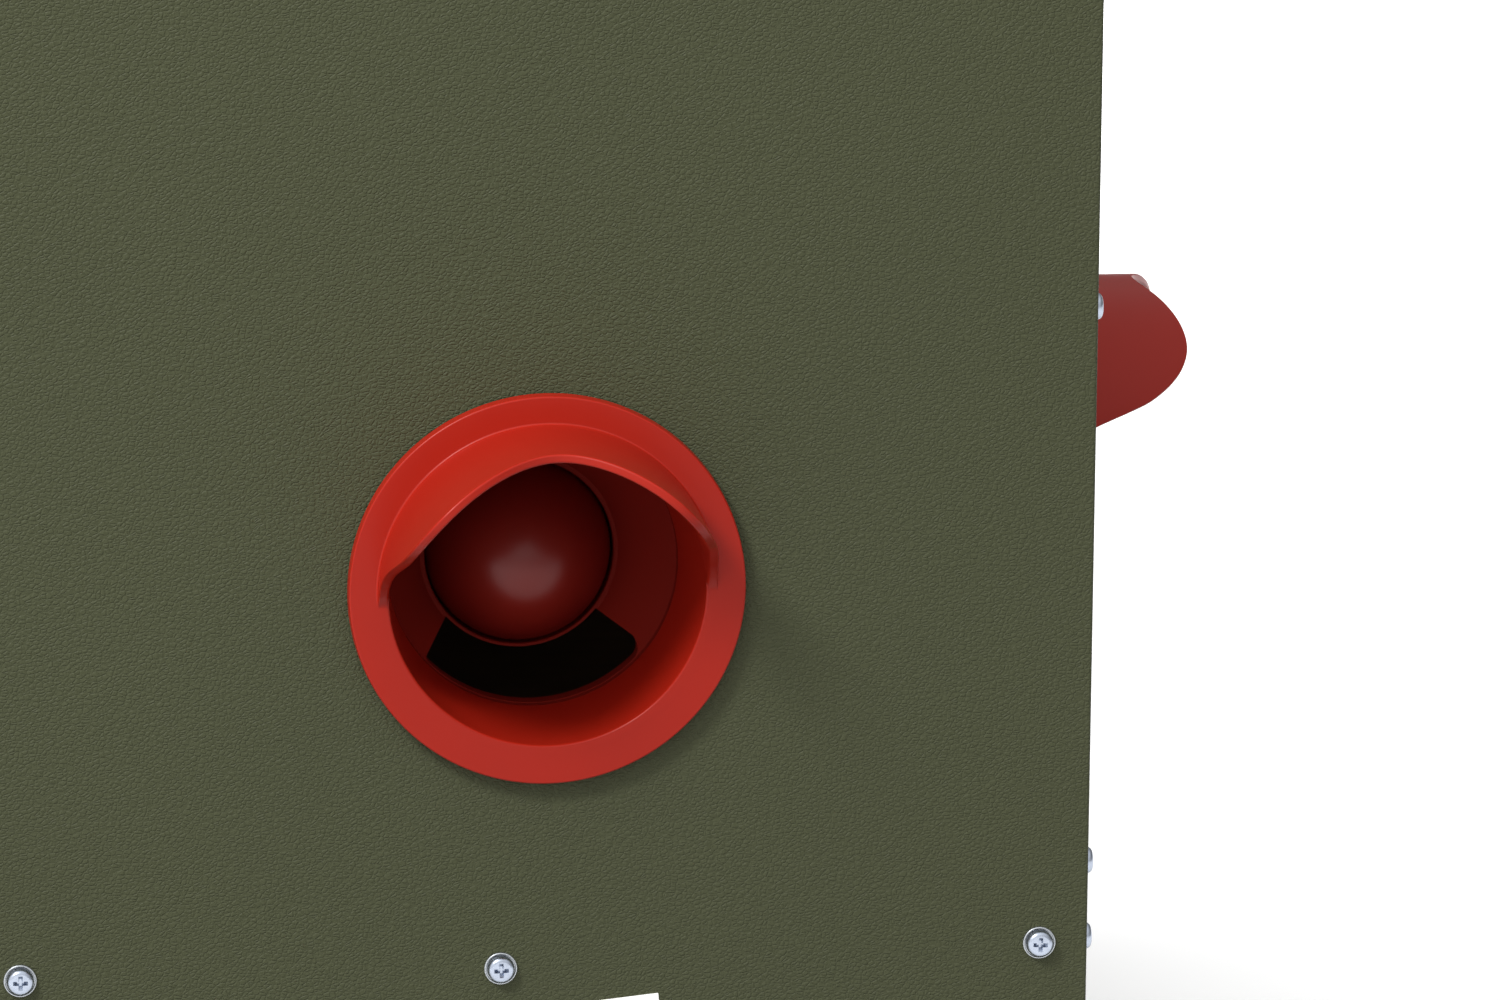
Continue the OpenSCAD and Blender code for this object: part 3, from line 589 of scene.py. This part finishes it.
# %% Slot
SLOT_HALF, SLOT_R = math.radians(50), 41.2 * MM
SLOT_SOFT_LEFT, SLOT_SOFT_RIGHT = 1.2 * MM, 4.2 * MM


def compass(angle):
    return Vector((math.cos(angle), math.sin(angle)))


def slot_outline():
    """The slot's outline: an arc along the rim, one along the ring, and rounded outer corners."""
    inner, bottom = RING_R - 0.2 * MM, -math.pi / 2
    halves = []
    for side, soft in ((-1, SLOT_SOFT_LEFT), (1, SLOT_SOFT_RIGHT)):
        reach = SLOT_R - soft
        turn = bottom + side * (SLOT_HALF - soft / reach)
        half = [SLOT_R * compass(bottom + (turn - bottom) * i / 20) for i in range(20)]
        half += [reach * compass(turn) + soft * compass(turn + side * math.pi / 2 * i / 8) for i in range(9)]
        halves.append(half)
    left, right = halves
    outer = left[:0:-1] + right
    along_ring = [inner * compass(bottom + SLOT_HALF * (1 - i / 20)) for i in range(41)]
    return [off_centre(p.x, p.y, 0) for p in outer] + [off_centre(p.x, p.y, 1) for p in along_ring]


def slot_cutter():
    """A block in the shape of the slot, which goes right through the bowl."""
    low, high = FOOT_Z - BOWL_WALL - 1 * MM, -SPIGOT_L - 0.1 * MM
    bm = bmesh.new()
    face = bm.faces.new([bm.verts.new((x, y, low)) for x, y in slot_outline()])
    lifted = bmesh.ops.extrude_face_region(bm, geom=[face])["geom"]
    top = [v for v in lifted if isinstance(v, bmesh.types.BMVert)]
    bmesh.ops.translate(bm, vec=(0, 0, high - low), verts=top)
    return new_piece("slot_cutter", bm, finishes["red_bowl"])


def cut(piece, cutter, smooth_angle):
    """Takes the cutter's solid out of the piece for good, and removes the cutter."""
    tool = piece.modifiers.new("cut", "BOOLEAN")
    tool.operation, tool.object, tool.solver = "DIFFERENCE", cutter, "EXACT"
    graph = bpy.context.evaluated_depsgraph_get()
    mesh = bpy.data.meshes.new_from_object(piece.evaluated_get(graph))
    piece.modifiers.clear()
    old = piece.data
    piece.data = mesh
    mesh.set_sharp_from_angle(angle=math.radians(smooth_angle))
    bpy.data.meshes.remove(old)
    bpy.data.objects.remove(cutter)


print("points in the slot's outline", len(slot_outline()))

# %% [markdown]
# ## Four ports on their walls
# A port's own frame has z out of the wall and y up. Each port is placed where its gasket already is in the
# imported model, turned to its wall, and the front right one also keeps the small twist it was fitted with.
# The meshes are made once and shared, so four ports cost no more than one.

# %% Place the ports
PORTS = {"front_left": (0, 0), "front_right": (0, 1.9), "left_side": (-90, 0), "right_side": (90, 0)}


def port_place(port):
    wall_turn, twist = PORTS[port]
    low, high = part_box(port + "_gasket")
    out = Matrix.Rotation(math.radians(wall_turn), 4, "Z") @ Vector((0, -1, 0))
    centre = (low + high) / 2 - out * GASKET / 2
    return (Matrix.Translation(centre) @ Matrix.Rotation(math.radians(wall_turn), 4, "Z")
            @ Matrix.Rotation(math.pi / 2, 4, "X") @ Matrix.Rotation(math.radians(twist), 4, "Z"))


def finish_piece(piece, node):
    """The piece stands for a CAD node: it rides on that node's body, and the node's own part is hidden."""
    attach(piece, body_of_node[node])
    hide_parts(node)


def even_shading(piece):
    flat = piece.modifiers.new("even_shading", "WEIGHTED_NORMAL")
    flat.keep_sharp = True
    flat.weight = 80


hood = new_piece("hood_master", lathe(hood_section, 360), finishes["red_hood"], 50)
bowl = new_piece("bowl_master", lathe(bowl_section, 180), finishes["red_bowl"], 35)
cut(bowl, slot_cutter(), 35)
for port in PORTS:
    for part, master in (("_hood", hood), ("_bowl", bowl)):
        piece = bpy.data.objects.new(port + part + "_moulding", master.data)
        scene.collection.objects.link(piece)
        piece.matrix_world = port_place(port)
        even_shading(piece)
        finish_piece(piece, port + part)
print("hood faces", len(hood.data.polygons), "bowl faces", len(bowl.data.polygons))
bpy.data.objects.remove(hood)
bpy.data.objects.remove(bowl)

# %% [markdown]
# ## Pan-head screws and cupped washers
# A screw head is 8 mm across, so its recess and rim are what the eye reads. The head is turned from a low
# curve, and a tapered cross is cut into it. The washer is cupped: a bright raised rim, and a dark groove
# between the rim and the head.

# %% Screw and washer
HEAD_R, HEAD_H, HEAD_SIDE = 3.9 * MM, 2.5 * MM, 0.5 * MM
WASHER_R, WASHER_T, WASHER_HOLE_R = 4.7 * MM, 1.0 * MM, 2.1 * MM
CROSS_HALF, CROSS_DEPTH = 2.2 * MM, 1.5 * MM
HEAD_TOP = WASHER_T + HEAD_H


def stack_rings(bm, rings):
    """Closes a stack of rings with the same number of points into a solid, from the lowest to the highest."""
    bm.faces.new(reversed(rings[0]))
    bm.faces.new(rings[-1])
    count = len(rings[0])
    for low_ring, high_ring in zip(rings, rings[1:]):
        for i in range(count):
            k = (i + 1) % count
            bm.faces.new((low_ring[i], low_ring[k], high_ring[k], high_ring[i]))


def cross_wing(turn_by):
    """One wing of the cross recess: a bar that narrows and thins as it goes down."""
    bottom = (HEAD_TOP - CROSS_DEPTH, CROSS_HALF * 0.45, 0.34 * MM)
    top = (HEAD_TOP + 0.3 * MM, CROSS_HALF * 1.12, 0.66 * MM)
    spin = Matrix.Rotation(turn_by, 2)
    bm = bmesh.new()
    rings = []
    for z, half, thick in (bottom, top):
        corners = [(-half, -thick), (half, -thick), (half, thick), (-half, thick)]
        rings.append([bm.verts.new((*(spin @ Vector(c)), z)) for c in corners])
    stack_rings(bm, rings)
    return new_piece("wing", bm, finishes["zinc_screw"])


def pan_head():
    crown_r, crown_h = 0.62 * HEAD_R, HEAD_H - 0.7 * MM
    shoulder = WASHER_T + HEAD_SIDE
    profile = [(0, WASHER_T), (HEAD_R, WASHER_T), (HEAD_R, shoulder)]
    for i in range(1, 15):
        a = math.pi / 2 * i / 14
        profile.append((crown_r + (HEAD_R - crown_r) * math.cos(a), shoulder + crown_h * math.sin(a)))
    profile += [(0.35 * HEAD_R, HEAD_TOP - 0.08 * MM), (0, HEAD_TOP)]
    head = new_piece("pan_head", lathe(turned(profile), 64, closed=False), finishes["zinc_screw"], 50)
    for turn_by in (0, math.pi / 2):
        cut(head, cross_wing(turn_by), 32)
    return head


def cupped_washer():
    rim_r, groove_z, seat_z = 0.3 * MM, 0.2 * MM, WASHER_T - 0.05 * MM
    profile = [(WASHER_HOLE_R, 0), (WASHER_R, 0), (WASHER_R, 0.35 * MM)]
    profile += arc(WASHER_R - rim_r, WASHER_T - rim_r, rim_r, 0, 90, 4)
    profile += [(WASHER_R - 0.36 * MM, WASHER_T - 0.02 * MM), (WASHER_R - 0.48 * MM, groove_z),
                (HEAD_R - 0.15 * MM, groove_z), (HEAD_R - 0.3 * MM, seat_z), (WASHER_HOLE_R, seat_z)]
    return new_piece("cupped_washer", lathe(turned(profile), 64), finishes["zinc_plate"], 40)


screw, washer = pan_head(), cupped_washer()
print("screw faces", len(screw.data.polygons), "washer faces", len(washer.data.polygons))

# %% [markdown]
# ## A screw in every hole
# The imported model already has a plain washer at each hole. The separate solids in that mesh are found by
# walking from point to point along its edges, and the middle of each says where a screw goes. All the screws
# of one wall become one piece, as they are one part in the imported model. Some are turned by two degrees,
# because nobody lines up their crosses by hand.

# %% Find the holes
def islands(mesh):
    """Middles of the separate solids in a mesh."""
    bm = bmesh.new()
    bm.from_mesh(mesh)
    bmesh.ops.remove_doubles(bm, verts=bm.verts, dist=NO_LENGTH)
    seen, found = set(), []
    for start in bm.verts:
        if start in seen:
            continue
        group, stack = [], [start]
        seen.add(start)
        while stack:
            point = stack.pop()
            group.append(point.co.copy())
            for edge in point.link_edges:
                other = edge.other_vert(point)
                if other not in seen:
                    seen.add(other)
                    stack.append(other)
        low = Vector([min(p[k] for p in group) for k in range(3)])
        high = Vector([max(p[k] for p in group) for k in range(3)])
        found.append((low + high) / 2)
    bm.free()
    return found


print("holes in the front", len(islands(nodes["front_washers"].data)))

# %% Copy the screws and washers to them
WALL_TURN = {"front": 0, "back": 180, "left": -90, "right": 90}
SCREW_TURNS = (-2, 0, 2)


def copies(name, master, places):
    """One mesh that holds a copy of the master at each place."""
    bm = bmesh.new()
    for place in places:
        part = bmesh.new()
        part.from_mesh(master.data)
        bmesh.ops.transform(part, matrix=place, verts=part.verts)
        mesh = bpy.data.meshes.new("part")
        part.to_mesh(mesh)
        part.free()
        bm.from_mesh(mesh)
        bpy.data.meshes.remove(mesh)
    mesh = bpy.data.meshes.new(name)
    bm.to_mesh(mesh)
    bm.free()
    mesh.materials.append(master.data.materials[0])
    piece = bpy.data.objects.new(name, mesh)
    scene.collection.objects.link(piece)
    return piece


screw_count = 0
for wall, wall_turn in WALL_TURN.items():
    spots = islands(nodes[wall + "_washers"].data)
    spin = Matrix.Rotation(math.radians(wall_turn), 4, "Z") @ Matrix.Rotation(math.pi / 2, 4, "X")
    out = spin.to_3x3() @ Vector((0, 0, 1))
    flush = [Matrix.Translation(s - out * WASHER_T / 2) @ spin for s in spots]
    turns = [math.radians(SCREW_TURNS[i % 3]) for i in range(len(spots))]
    heads = [m @ Matrix.Rotation(turn_by, 4, "Z") for m, turn_by in zip(flush, turns)]
    for node, master, places in ((wall + "_screws", screw, heads), (wall + "_washers", washer, flush)):
        piece = copies(node + "_turned", master, places)
        even_shading(piece)
        finish_piece(piece, node)
    screw_count += len(spots)
for master in (screw, washer):
    bpy.data.objects.remove(master)
print("screws", screw_count)

# %% [markdown]
# ## The blank label
# The label is a film of a few tenths of a millimetre, stuck on by hand and so a little askew. It is a stack
# of three rounded outlines, the last one a little smaller, which softens the front edge. It keeps the packed
# label's top right corner, apart from a small slip, and turns a little further about it.

# %% Label
LABEL_W, LABEL_H, LABEL_T, LABEL_CORNER = 62 * MM, 40 * MM, 0.4 * MM, 0.3 * MM
PACKED_TILT, STUCK_TILT = math.radians(4.4), math.radians(5.9)
SLIP_RIGHT, SLIP_DOWN = 0.9 * MM, 1.6 * MM


def label_ring(bm, inset, z):
    points = []
    for quarter, (sx, sy) in enumerate(((1, 1), (-1, 1), (-1, -1), (1, -1))):
        centre = Vector((sx * (LABEL_W / 2 - LABEL_CORNER), sy * (LABEL_H / 2 - LABEL_CORNER)))
        for step in range(5):
            points.append(centre + (LABEL_CORNER - inset) * compass(math.pi / 2 * (quarter + step / 4)))
    return [bm.verts.new((p.x, p.y, z)) for p in points]


bm = bmesh.new()
stack_rings(bm, [label_ring(bm, 0, 0), label_ring(bm, 0, LABEL_T * 0.7), label_ring(bm, 0.12 * MM, LABEL_T)])
label = new_piece("stuck_label", bm, finishes["white_label"], 30)

corner = Vector((LABEL_W / 2, LABEL_H / 2))
swing = Matrix.Rotation(PACKED_TILT, 2) @ corner - Matrix.Rotation(STUCK_TILT, 2) @ corner
packed = middle("blank_label")
label_place = Vector((packed.x + swing.x + SLIP_RIGHT, front_y, packed.z + swing.y - SLIP_DOWN))
label.matrix_world = (Matrix.Translation(label_place) @ Matrix.Rotation(math.pi / 2, 4, "X")
                      @ Matrix.Rotation(STUCK_TILT, 4, "Z"))
finish_piece(label, "blank_label")
print("label", round(label.dimensions.x / MM, 1), "by", round(label.dimensions.y / MM, 1), "mm")

# %% [markdown]
# ## Softened edges on the carried-over parts
# The lid, the boards and the pressed plates come over with knife edges, and a knife edge looks like paper. A
# Bevel modifier rounds them without touching the mesh underneath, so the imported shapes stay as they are. The
# numbers are the bevels' widths in millimetres.

# %% Bevels
BEVELS = {"lid": 1.6, "floor_board": 1.0, "lid_handle": 0.3, "bolt_guide": 0.5, "bolt_keeper": 0.5,
          "hinge_blocks": 0.8, "body_leaf_left": 0.4, "body_leaf_right": 0.4, "lid_leaf_left": 0.4,
          "lid_leaf_right": 0.4, "feed_ramp": 0.8}
for name, width in BEVELS.items():
    soft = nodes[name].modifiers.new("edges", "BEVEL")
    soft.width, soft.segments, soft.limit_method = width * MM, 3, "ANGLE"
    soft.angle_limit = math.radians(50)
print("bevelled", len(BEVELS))
